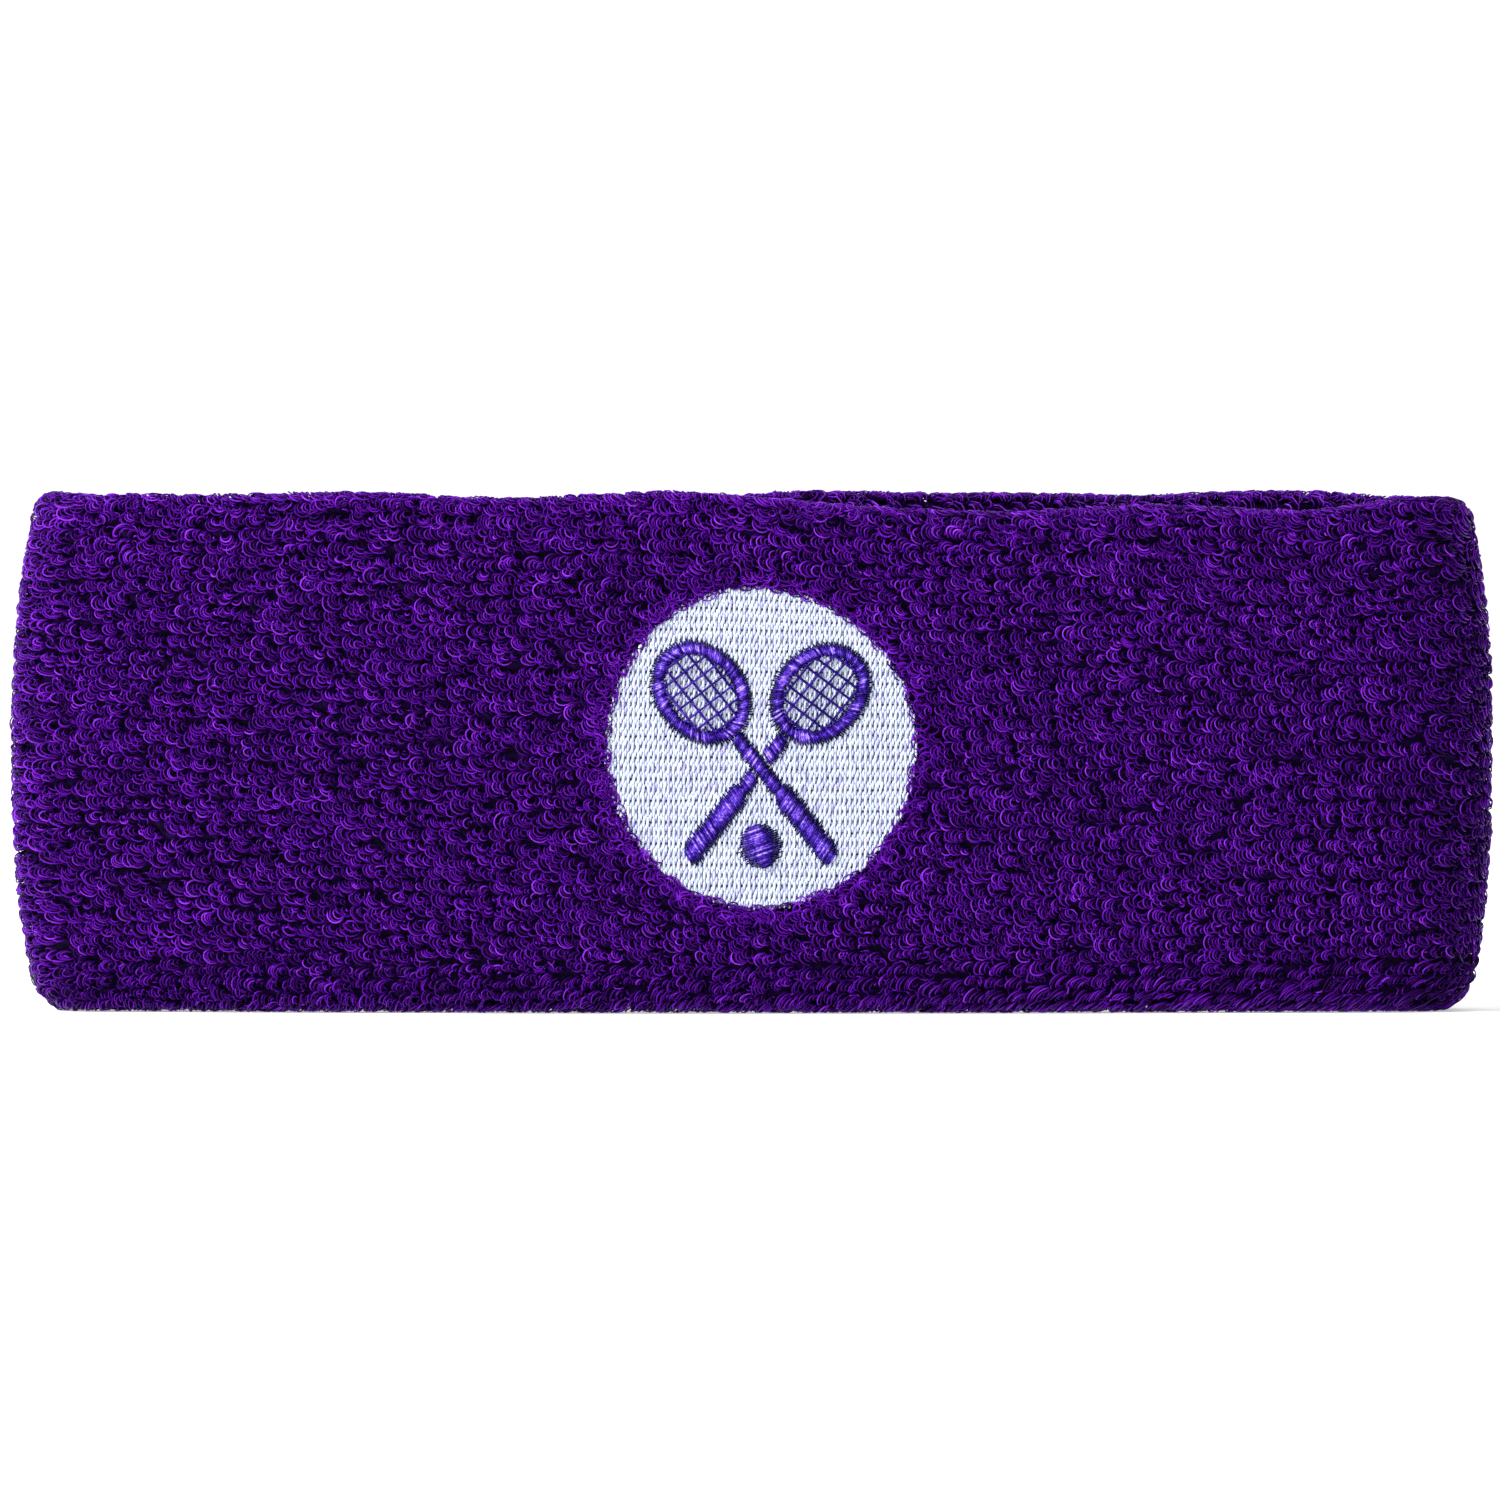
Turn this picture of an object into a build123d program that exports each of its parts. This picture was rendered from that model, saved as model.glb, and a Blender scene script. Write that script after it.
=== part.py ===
from build123d import *
import os
from math import atan2, cos, degrees, radians, sin

# A terry sports headband, standing on its lower edge as it is worn.
# It is one knitted tube folded in on itself, so the wall has two plies joined by the upper and lower folds.
# Millimetres, +Z up. X runs along the flattened loop and the badge faces -Y.
# The origin is the middle of the footprint, on the surface that the band stands on.

# The loop in plan
band_length = 178.0
loop_depth = 25.0
widest_x = 8.0
belly_radius = 720.0

# The wall in section
band_height = 63.5
wall = 5.4
fold_radius = 2.0
tightest_fold = 0.15

# Layers of one ply, from its terry face to the hollow between the plies
pile = 1.35
ground = 0.5
elastic = 0.35

# Elastic yarn, laid in at every course
yarn_width = 0.7
course_pitch = 2.0
first_course = 4.75
course_count = 28

# The line of thread that closes the tube inside
seam_thickness = 0.45
seam_low = 7.0
seam_high = 9.5

# The embroidered badge
badge_x = 1.1
badge_z = 31.9
badge_width = 37.1
badge_height = 38.7
stitch_top = 0.0
fill_top = 0.4
underlay_top = 0.7
pressed_pile_top = 0.85
backing = 0.25
backing_margin = 2.5
bobbin = 0.15

# The emblem: two crossed rackets and a ball
racket_tilt = 38.0
crossing_drop = 2.5
head_distance = 11.5
head_width = 11.2
head_length = 13.8
hoop_width = 1.9
string_width = 0.4
string_pitch = 1.6
shaft_width = 2.0
grip_width = 3.0
grip_start = 3.6
grip_end = 14.0
crossing_gap = 0.15
bar_rounding = 0.3
ball_radius = 2.7
ball_drop = 12.0

half_length = band_length / 2
half_depth = loop_depth / 2
mid_height = band_height / 2
inner_ply_edge = wall - pile - ground - elastic
hollow_edge = pile + ground + elastic


# ---------------------------------------------------------------- the loop in plan


def end_radius(reach):
    """Radius of the end fold that is tangent to both bellies, at this distance from the widest place."""
    return (2 * belly_radius * half_depth - reach**2 - half_depth**2) / (2 * (belly_radius - reach))


left_radius = end_radius(half_length + widest_x)
right_radius = end_radius(half_length - widest_x)
left_centre = left_radius - half_length
right_centre = half_length - right_radius
belly_offset = belly_radius - half_depth
left_join = 360 + degrees(atan2(-belly_offset, left_centre - widest_x))
right_join = degrees(atan2(belly_offset, right_centre - widest_x))

# Each arc is its centre, its outer radius, and its start and sweep in degrees, anticlockwise from above.
front_arc = ((widest_x, belly_offset), belly_radius, left_join, 360 - right_join - left_join)
right_arc = ((right_centre, 0), right_radius, -right_join, 2 * right_join)
back_arc = ((widest_x, -belly_offset), belly_radius, right_join, 360 - left_join - right_join)
left_arc = ((left_centre, 0), left_radius, 360 - left_join, 2 * left_join - 360)
loop_arcs = (front_arc, right_arc, back_arc, left_arc)


def section_plane(arc):
    """The upright plane at the start of an arc, with x measured outward from the arc's centre and y up."""
    (centre_x, centre_y), _, start, _ = arc
    along, across = cos(radians(start)), sin(radians(start))
    return Plane(origin=(centre_x, centre_y, 0), x_dir=(along, across, 0), z_dir=(across, -along, 0))


def turn_section(section, arc):
    """Carry a sketched section round its arc."""
    centre, _, _, sweep_angle = arc
    revolve(section.sketch, axis=Axis((*centre, 0), (0, 0, 1)), revolution_arc=sweep_angle)


def rounded_wall(depth, mode=Mode.ADD):
    """The wall's rounded section, this deep below its surface."""
    RectangleRounded(
        wall - 2 * depth,
        band_height - 2 * depth,
        max(fold_radius - depth, tightest_fold),
        mode=mode,
    )


def ply_skin(arc, ply, outer_depth, inner_depth):
    """Add one layer of one ply along an arc. The ply is 1 for the outer one and -1 for the inner one."""
    radius = arc[1]
    with BuildSketch(section_plane(arc)) as section:
        with Locations((radius - wall / 2, mid_height)):
            rounded_wall(outer_depth)
            rounded_wall(inner_depth, mode=Mode.SUBTRACT)
        with Locations((radius - wall / 2 - ply * wall / 2, mid_height)):
            Rectangle(wall, band_height, mode=Mode.SUBTRACT)
    turn_section(section, arc)


def wall_strips(arc, outer_depth, inner_depth, heights, strip_height):
    """Add one curved strip for each height, between two depths below the wall's outer face."""
    radius = arc[1]
    with BuildSketch(section_plane(arc)) as section:
        with Locations(*[(radius - (outer_depth + inner_depth) / 2, height) for height in heights]):
            Rectangle(inner_depth - outer_depth, strip_height)
    turn_section(section, arc)


def front_slab(outer_depth, inner_depth):
    """Add the front wall between two depths, to be cut to an outline."""
    wall_strips(front_arc, outer_depth, inner_depth, [mid_height], band_height)


# ---------------------------------------------------------------- outlines on the front wall

badge_plane = Plane(origin=(badge_x, 0, badge_z), x_dir=(1, 0, 0), z_dir=(0, -1, 0))


def racket_plane(side, distance=0):
    """The plane of one racket, this far along it from the crossing, with y towards its head.

    The side is -1 for the racket that leans left and 1 for the one that leans right.
    """
    lean = radians(side * racket_tilt)
    origin = (badge_x + distance * sin(lean), 0, badge_z - crossing_drop + distance * cos(lean))
    return Plane(origin=origin, x_dir=(cos(lean), 0, -sin(lean)), z_dir=(0, -1, 0))


def cut_to_ellipse(plane, width, height, mode=Mode.INTERSECT):
    """Cut the part being built with an upright elliptical outline."""
    with BuildSketch(plane) as outline:
        Ellipse(width / 2, height / 2)
    extrude(outline.sketch, amount=loop_depth, mode=mode)


def cut_to_bar(side, width, low, high, mode=Mode.INTERSECT):
    """Cut the part being built with a round-ended bar along one racket."""
    with BuildSketch(racket_plane(side, (low + high) / 2)) as outline:
        RectangleRounded(width, high - low, width * bar_rounding)
    extrude(outline.sketch, amount=loop_depth, mode=mode)


def cut_clear_of_shaft(side):
    """Open the racket underneath where the other racket's shaft passes over it."""
    with BuildSketch(racket_plane(-side)) as outline:
        Rectangle(shaft_width + 2 * crossing_gap, 2 * grip_start)
    extrude(outline.sketch, amount=loop_depth, mode=Mode.SUBTRACT)


# ---------------------------------------------------------------- the knitted tube

with BuildPart() as outer_pile:
    for loop_arc in loop_arcs:
        ply_skin(loop_arc, 1, 0, pile)
with BuildPart() as badge_pocket:
    front_slab(-pile, pressed_pile_top)
    cut_to_ellipse(badge_plane, badge_width, badge_height)
outer_pile.part -= badge_pocket.part
outer_pile.part.label = "outer_pile"

with BuildPart() as inner_pile:
    for loop_arc in loop_arcs:
        ply_skin(loop_arc, -1, 0, pile)
inner_pile.part.label = "inner_pile"

with BuildPart() as outer_ground_knit:
    for loop_arc in loop_arcs:
        ply_skin(loop_arc, 1, pile, pile + ground)
outer_ground_knit.part.label = "outer_ground_knit"

with BuildPart() as inner_ground_knit:
    for loop_arc in loop_arcs:
        ply_skin(loop_arc, -1, pile, pile + ground)
inner_ground_knit.part.label = "inner_ground_knit"

course_heights = [first_course + course * course_pitch for course in range(course_count)]

with BuildPart() as outer_elastic_yarns:
    for loop_arc in loop_arcs:
        wall_strips(loop_arc, pile + ground, hollow_edge, course_heights, yarn_width)
outer_elastic_yarns.part.label = "outer_elastic_yarns"

with BuildPart() as inner_elastic_yarns:
    for loop_arc in loop_arcs:
        wall_strips(loop_arc, inner_ply_edge, inner_ply_edge + elastic, course_heights, yarn_width)
inner_elastic_yarns.part.label = "inner_elastic_yarns"

with BuildPart() as closing_seam:
    for loop_arc in loop_arcs:
        wall_strips(
            loop_arc,
            inner_ply_edge - seam_thickness,
            inner_ply_edge,
            [(seam_low + seam_high) / 2],
            seam_high - seam_low,
        )
closing_seam.part.label = "closing_seam"

# ---------------------------------------------------------------- the badge, from the back to the front

with BuildPart() as embroidery_backing:
    front_slab(hollow_edge, hollow_edge + backing)
    cut_to_ellipse(badge_plane, badge_width + 2 * backing_margin, badge_height + 2 * backing_margin)
embroidery_backing.part.label = "embroidery_backing"

with BuildPart() as bobbin_thread:
    front_slab(hollow_edge + backing, hollow_edge + backing + bobbin)
    cut_to_ellipse(badge_plane, badge_width, badge_height)
bobbin_thread.part.label = "bobbin_thread"

with BuildPart() as badge_underlay:
    front_slab(underlay_top, pressed_pile_top)
    cut_to_ellipse(badge_plane, badge_width, badge_height)
badge_underlay.part.label = "badge_underlay"

with BuildPart() as badge_fill:
    front_slab(fill_top, underlay_top)
    cut_to_ellipse(badge_plane, badge_width, badge_height)
badge_fill.part.label = "badge_fill"

# ---------------------------------------------------------------- the emblem

emblem = {}
for side, side_name in ((-1, "left"), (1, "right")):
    with BuildPart() as racket_hoop:
        front_slab(stitch_top, fill_top)
        cut_to_ellipse(racket_plane(side, head_distance), head_width, head_length)
        cut_to_ellipse(
            racket_plane(side, head_distance),
            head_width - 2 * hoop_width,
            head_length - 2 * hoop_width,
            mode=Mode.SUBTRACT,
        )
    emblem[f"{side_name}_racket_hoop"] = racket_hoop.part

    with BuildPart() as racket_strings:
        front_slab((stitch_top + fill_top) / 2, fill_top)
        with BuildSketch(racket_plane(side, head_distance)):
            with GridLocations(string_pitch, 0, 5, 1):
                Rectangle(string_width, head_length)
            with GridLocations(0, string_pitch, 1, 7):
                Rectangle(head_width, string_width)
        extrude(amount=loop_depth, mode=Mode.INTERSECT)
        cut_to_ellipse(racket_plane(side, head_distance), head_width - 2 * hoop_width, head_length - 2 * hoop_width)
    emblem[f"{side_name}_racket_strings"] = racket_strings.part

    with BuildPart() as racket_shaft:
        front_slab(stitch_top, fill_top)
        cut_to_bar(side, shaft_width, -grip_start, head_distance)
        cut_to_ellipse(racket_plane(side, head_distance), head_width, head_length, mode=Mode.SUBTRACT)
        if side > 0:
            cut_clear_of_shaft(side)
    emblem[f"{side_name}_racket_shaft"] = racket_shaft.part

    with BuildPart() as racket_grip:
        front_slab(stitch_top, fill_top)
        cut_to_bar(side, grip_width, -grip_end, -grip_start)
    emblem[f"{side_name}_racket_grip"] = racket_grip.part

ball_plane = Plane(origin=(badge_x, 0, badge_z - ball_drop), x_dir=(1, 0, 0), z_dir=(0, -1, 0))
with BuildPart() as ball:
    front_slab(stitch_top, fill_top)
    cut_to_ellipse(ball_plane, 2 * ball_radius, 2 * ball_radius)
emblem["ball"] = ball.part

for name, stitched_part in emblem.items():
    stitched_part.label = name

# ---------------------------------------------------------------- one file for each piece

os.makedirs("parts", exist_ok=True)
export_step(outer_pile.part, "parts/outer_pile.step")
export_step(inner_pile.part, "parts/inner_pile.step")
export_step(outer_ground_knit.part, "parts/outer_ground_knit.step")
export_step(inner_ground_knit.part, "parts/inner_ground_knit.step")
export_step(outer_elastic_yarns.part, "parts/outer_elastic_yarns.step")
export_step(inner_elastic_yarns.part, "parts/inner_elastic_yarns.step")
export_step(closing_seam.part, "parts/closing_seam.step")
export_step(embroidery_backing.part, "parts/embroidery_backing.step")
export_step(bobbin_thread.part, "parts/bobbin_thread.step")
export_step(badge_underlay.part, "parts/badge_underlay.step")
export_step(badge_fill.part, "parts/badge_fill.step")
for name, stitched_part in emblem.items():
    export_step(stitched_part, f"parts/{name}.step")

print("end fold radii", round(left_radius, 2), round(right_radius, 2))
print("inner fold radii", round(left_radius - wall, 2), round(right_radius - wall, 2))
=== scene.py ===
import math

import bpy
import numpy as np
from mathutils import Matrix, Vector


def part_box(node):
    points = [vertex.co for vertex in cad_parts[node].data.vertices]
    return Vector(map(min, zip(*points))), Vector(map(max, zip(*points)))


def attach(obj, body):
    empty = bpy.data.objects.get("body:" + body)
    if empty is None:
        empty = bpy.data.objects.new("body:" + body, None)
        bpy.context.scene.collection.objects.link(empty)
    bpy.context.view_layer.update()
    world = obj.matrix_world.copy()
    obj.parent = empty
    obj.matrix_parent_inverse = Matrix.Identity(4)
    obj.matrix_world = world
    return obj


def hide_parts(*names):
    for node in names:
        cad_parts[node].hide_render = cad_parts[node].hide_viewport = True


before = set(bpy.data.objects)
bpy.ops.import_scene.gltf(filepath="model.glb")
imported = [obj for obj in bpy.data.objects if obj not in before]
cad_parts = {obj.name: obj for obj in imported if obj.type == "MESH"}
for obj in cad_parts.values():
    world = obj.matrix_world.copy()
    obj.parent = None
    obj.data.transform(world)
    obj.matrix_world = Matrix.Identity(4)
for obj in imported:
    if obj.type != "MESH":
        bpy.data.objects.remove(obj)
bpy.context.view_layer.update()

# A terry sports headband, standing on its lower edge, with its embroidered badge towards -Y.
# Shapes are worked out in millimetres and turned into metres when a mesh is made.
# A place on the band is (along, around, height): along runs anticlockwise round the loop at mid-wall,
# around goes round the wall's section at the loop tips, from the middle of its lower fold up the outer
# face, and height stands out from the ground knit into the pile.

METRE = 0.001
WHITE = (1.0, 1.0, 1.0, 1.0)
rng = np.random.default_rng(2407)

# ---------------------------------------------------------------- driving dimensions

pile_low, pile_high = (np.array(corner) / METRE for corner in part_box("outer_pile"))
half_length = (pile_high[0] - pile_low[0]) / 2
half_depth = (pile_high[1] - pile_low[1]) / 2
band_height = pile_high[2]
mid_height = band_height / 2
mid_wall_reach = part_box("inner_pile")[1][0] / METRE
inner_half_wall = 2.7
wall = pile_high[0] - mid_wall_reach + inner_half_wall
belly_radius = 720.0
widest_x = 8.0

pile = 1.35
ground = 0.5
ground_fold = 0.65
tip_height = 1.0
elastic_depth = ground + 0.175

badge_low, badge_high = (np.array(corner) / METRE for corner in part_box("badge_fill"))
# The badge starts a little high and tall, because the soft band settles
badge_rise = 0.55
badge_growth = 1.022
badge_x = (badge_low[0] + badge_high[0]) / 2
badge_z = (badge_low[2] + badge_high[2]) / 2 + badge_rise
badge_half_width = (badge_high[0] - badge_low[0]) / 2
badge_half_height = (badge_high[2] - badge_low[2]) / 2 * badge_growth

# How the soft band departs from its plain form
left_end_pull = 3.3
right_end_pull = 2.9
end_pull_power = 2.6
lower_corner_pull = 1.4
stretch = 1.002
slump = 0.985
front_dip = 1.7
rear_dip = 0.9
right_end_dip = 0.3
ripple = 0.16
edge_wave = 0.25
edge_thinning = 0.03

# Where these changes begin and end. The first is measured towards -Y, the last is a height, and the others
# are along X.
front_span = (-4.0, 6.0)
front_dip_span = (-8.0, 22.0)
front_end_span = (66.0, 84.0)
rear_dip_start = (-85.0, -70.0)
rear_dip_finish = (-20.0, 14.0)
rear_end_span = (50.0, 82.0)
calm_span = (70.0, 84.0)
lower_corner_span = (0.0, 4.0)

# The lowest loops lie on the floor; this is the least height of a strand's middle
floor_clearance = 0.14


# ---------------------------------------------------------------- the band's surface


def end_radius(reach):
    """Radius of the end fold that is tangent to both bellies, at this distance from the widest place."""
    return (2 * belly_radius * half_depth - reach**2 - half_depth**2) / (2 * (belly_radius - reach))


def plan_arcs():
    """The four arcs of the loop in plan: centre x, centre y, radius at mid-wall, start angle and sweep."""
    left_radius = end_radius(half_length + widest_x)
    right_radius = end_radius(half_length - widest_x)
    left_centre = left_radius - half_length
    right_centre = half_length - right_radius
    offset = belly_radius - half_depth
    left_join = 2 * math.pi + math.atan2(-offset, left_centre - widest_x)
    right_join = math.atan2(offset, right_centre - widest_x)
    belly_sweep = 2 * math.pi - right_join - left_join
    return np.array([
        (widest_x, offset, belly_radius - wall / 2, left_join, belly_sweep),
        (right_centre, 0, right_radius - wall / 2, -right_join, 2 * right_join),
        (widest_x, -offset, belly_radius - wall / 2, right_join, belly_sweep),
        (left_centre, 0, left_radius - wall / 2, 2 * math.pi - left_join, 2 * left_join - 2 * math.pi),
    ])


arcs = plan_arcs()
arc_ends = np.cumsum(arcs[:, 2] * arcs[:, 4])
loop_length = arc_ends[-1]
corner_points = 13


def section_table():
    """The ground knit's outline in section, against the distance round it at the loop tips.

    Each of its points is an offset from mid-wall, a height above mid-height and an outward direction.
    """
    flat = wall / 2 - pile - ground_fold
    side = band_height / 2 - pile - ground_fold
    corners = ((flat, -side, -90), (flat, side, 0), (-flat, side, 90), (-flat, -side, 180))
    points = [(0.0, -side - ground_fold, math.radians(-90))]
    for corner_offset, corner_height, start in corners:
        for turn in np.radians(np.linspace(start, start + 90, corner_points)):
            offset = corner_offset + ground_fold * math.cos(turn)
            points.append((offset, corner_height + ground_fold * math.sin(turn), turn))
    points.append((0.0, -side - ground_fold, math.radians(270)))
    points = np.array(points)
    tips = points[:, :2] + tip_height * np.stack([np.cos(points[:, 2]), np.sin(points[:, 2])], axis=-1)
    steps = np.hypot(*np.diff(tips, axis=0).T)
    return np.concatenate([[0], np.cumsum(steps)]), points


section_around, section_points = section_table()
section_length = section_around[-1]
outer_face_start = section_around[corner_points]


def smooth(value, low, high):
    """0 below low, 1 above high, and an even turn between them."""
    t = np.clip((value - low) / (high - low), 0, 1)
    return t * t * (3 - 2 * t)


def soften(points):
    """Turn the plain band into the soft one: ends drawn in, upper edges dipped and faces rippled."""
    x, y, z = points[..., 0], points[..., 1], points[..., 2]
    level = np.abs(z - mid_height) / mid_height
    lift = smooth(z, mid_height, band_height) ** 1.5
    front = smooth(-y, *front_span)
    front_low = front_dip + (right_end_dip - front_dip) * smooth(x, *front_end_span)
    front_low = front_low * smooth(x, *front_dip_span)
    rear_low = rear_dip * (1 - smooth(x, *rear_dip_finish)) * smooth(x, *rear_dip_start)
    rear_low = rear_low + right_end_dip * smooth(x, *rear_end_span)
    ripples = np.sin(x / 17.0 + z / 23.0)
    ripples = ripples + 0.6 * np.sin(x / 9.0 - z / 14.0 + 1.3)
    ripples = ripples + 0.5 * np.sin(z / 8.0 + x / 31.0)
    soft = np.empty_like(points)
    end_pull = np.where(x < 0, left_end_pull, right_end_pull) * level**end_pull_power
    end_pull = end_pull + lower_corner_pull * (1 - smooth(z, *lower_corner_span))
    soft[..., 0] = x * (stretch - end_pull / half_length)
    ripples = ripples * (1 - smooth(np.abs(x), *calm_span))
    soft[..., 1] = y * (1 - edge_thinning * level**3) + ripple * ripples
    waves = edge_wave * (np.sin(x / 8.5 + 2 * front) + 0.7 * np.sin(x / 5.1 + 1.0 - 3 * front) - 1.0)
    drop = front * front_low + (1 - front) * rear_low - waves
    soft[..., 2] = np.maximum(z * slump - lift * drop, floor_clearance)
    return soft


def place(along, around, height):
    """Points on the soft band, in millimetres."""
    along = np.mod(along, loop_length)
    around = np.mod(around, section_length)
    along, around, height = np.broadcast_arrays(along, around, height)
    which = np.minimum(np.searchsorted(arc_ends, along, side="right"), 3)
    centre_x, centre_y, radius, start, sweep = (arcs[which, column] for column in range(5))
    before = np.concatenate([[0], arc_ends])[which]
    angle = start + (along - before) / radius
    offset = np.interp(around, section_around, section_points[:, 0])
    level = np.interp(around, section_around, section_points[:, 1])
    turn = np.interp(around, section_around, section_points[:, 2])
    out = radius + offset + height * np.cos(turn)
    z = level + height * np.sin(turn) + mid_height
    points = np.stack([centre_x + out * np.cos(angle), centre_y + out * np.sin(angle), z], axis=-1)
    return soften(points)


def along_front(x):
    """The distance along the loop of a place on the front wall, from its x."""
    centre_x, _, radius, start, _ = arcs[0]
    return (2 * math.pi - np.arccos((np.asarray(x) - centre_x) / radius) - start) * radius


def around_outer(z):
    """The distance round the section of a place on the outer face, from its height."""
    side = band_height / 2 - pile - ground_fold
    return outer_face_start + (np.asarray(z) - mid_height + side)


# ---------------------------------------------------------------- meshes


def tubes(paths, radii, sides=4):
    """Closed tubes along many paths at once: their vertices, faces and chart."""
    count, steps, _ = paths.shape
    tangents = np.gradient(paths, axis=1)
    tangents /= np.linalg.norm(tangents, axis=2, keepdims=True) + 1e-9
    guess = np.cross(tangents[:, 0], [0.31, 0.52, 0.79])
    normals = np.empty_like(paths)
    for step in range(steps):
        tangent = tangents[:, step]
        guess = guess - np.sum(guess * tangent, axis=1, keepdims=True) * tangent
        guess /= np.linalg.norm(guess, axis=1, keepdims=True) + 1e-9
        normals[:, step] = guess
    binormals = np.cross(tangents, normals)
    turns = 2 * math.pi * np.arange(sides) / sides
    spread = np.cos(turns)[:, None] * normals[:, :, None, :]
    spread = spread + np.sin(turns)[:, None] * binormals[:, :, None, :]
    radii = np.broadcast_to(radii, (count, steps))
    vertices = paths[:, :, None, :] + radii[:, :, None, None] * spread
    index = np.arange(count * steps * sides).reshape(count, steps, sides)
    here, there = index[:, :-1], index[:, 1:]
    walls = np.stack([here, np.roll(here, -1, 2), np.roll(there, -1, 2), there], axis=-1)
    caps = np.concatenate([index[:, 0, ::-1], index[:, -1, :]])
    return vertices.reshape(-1, 3), [walls.reshape(-1, 4), caps], tube_chart(count, steps, sides)


def tube_chart(count, steps, sides):
    """A chart in which each tube has a small cell of its own, so that its colour can be stored."""
    cell_margin = 0.07
    grid = math.ceil(math.sqrt(count))
    cell = np.stack(np.divmod(np.arange(count), grid), axis=-1) / grid
    along, across = np.meshgrid(np.arange(steps - 1), np.arange(sides), indexing="ij")
    corner_across = np.stack([across, across + 1, across + 1, across], axis=-1) / sides
    corner_along = np.stack([along, along, along + 1, along + 1], axis=-1) / (steps - 1)
    corners = np.stack([corner_across, corner_along], axis=-1).reshape(1, -1, 2)
    corners = cell_margin + (1 - 2 * cell_margin) * corners
    walls = cell[:, None, :] + corners / grid
    cap_corners = np.stack([np.linspace(0.1, 0.9, sides), np.full(sides, 0.5)], axis=-1)
    caps = cell[:, None, :] + cap_corners[None] / grid
    return np.concatenate([walls.reshape(-1, 2), caps.reshape(-1, 2), caps.reshape(-1, 2)])


def make_piece(name, vertices, face_groups, material, chart=None, tone=None):
    """A smooth mesh object that rides on the band, from its vertices and groups of equal-sided faces."""
    mesh = bpy.data.meshes.new(name)
    mesh.vertices.add(len(vertices))
    mesh.vertices.foreach_set("co", (vertices * METRE).astype(np.float32).ravel())
    corners = np.concatenate([group.ravel() for group in face_groups]).astype(np.int32)
    sizes = np.concatenate([np.full(len(group), group.shape[1]) for group in face_groups])
    starts = np.concatenate([[0], np.cumsum(sizes)[:-1]]).astype(np.int32)
    mesh.loops.add(len(corners))
    mesh.loops.foreach_set("vertex_index", corners)
    mesh.polygons.add(len(sizes))
    mesh.polygons.foreach_set("loop_start", starts)
    mesh.polygons.foreach_set("use_smooth", np.ones(len(sizes), dtype=bool))
    if chart is not None:
        layer = mesh.uv_layers.new(name="OFBake")
        layer.data.foreach_set("uv", chart.astype(np.float32).ravel())
    if tone is not None:
        attribute = mesh.attributes.new("tone", "FLOAT", "POINT")
        attribute.data.foreach_set("value", tone.astype(np.float32).ravel())
    mesh.update(calc_edges=True)
    mesh.validate()
    piece = bpy.data.objects.new(name, mesh)
    bpy.context.scene.collection.objects.link(piece)
    mesh.materials.append(material)
    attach(piece, "root")
    return piece


def tube_piece(name, paths, radii, material, sides=4, tone=None):
    """A piece made of closed tubes. The tone is one number for each point of each path."""
    vertices, faces, chart = tubes(paths, radii, sides)
    if tone is not None:
        tone = np.repeat(np.broadcast_to(tone, paths.shape[:2]).ravel(), sides)
    return make_piece(name, vertices, faces, material, chart, tone)


# ---------------------------------------------------------------- materials


def new_material(name, roughness, **settings):
    """A material with a Principled shader: returns it, its node tree and the shader."""
    material = bpy.data.materials.new(name)
    material.use_nodes = True
    tree = material.node_tree
    shader = tree.nodes["Principled BSDF"]
    shader.inputs["Roughness"].default_value = roughness
    for key, value in settings.items():
        shader.inputs[key.replace("_", " ")].default_value = value
    return material, tree, shader


def add_node(tree, kind, **settings):
    """A node with some of its properties and inputs set."""
    node = tree.nodes.new(kind)
    for key, value in settings.items():
        if hasattr(node, key):
            setattr(node, key, value)
        else:
            node.inputs[key.replace("_", " ")].default_value = value
    return node


def colour_ramp(tree, stops):
    """A colour ramp through (position, colour) stops."""
    ramp = tree.nodes.new("ShaderNodeValToRGB")
    elements = ramp.color_ramp.elements
    while len(elements) < len(stops):
        elements.new(0.5)
    for element, (position, colour) in zip(elements, stops):
        element.position = position
        element.color = (*colour, 1.0)
    return ramp


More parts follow.
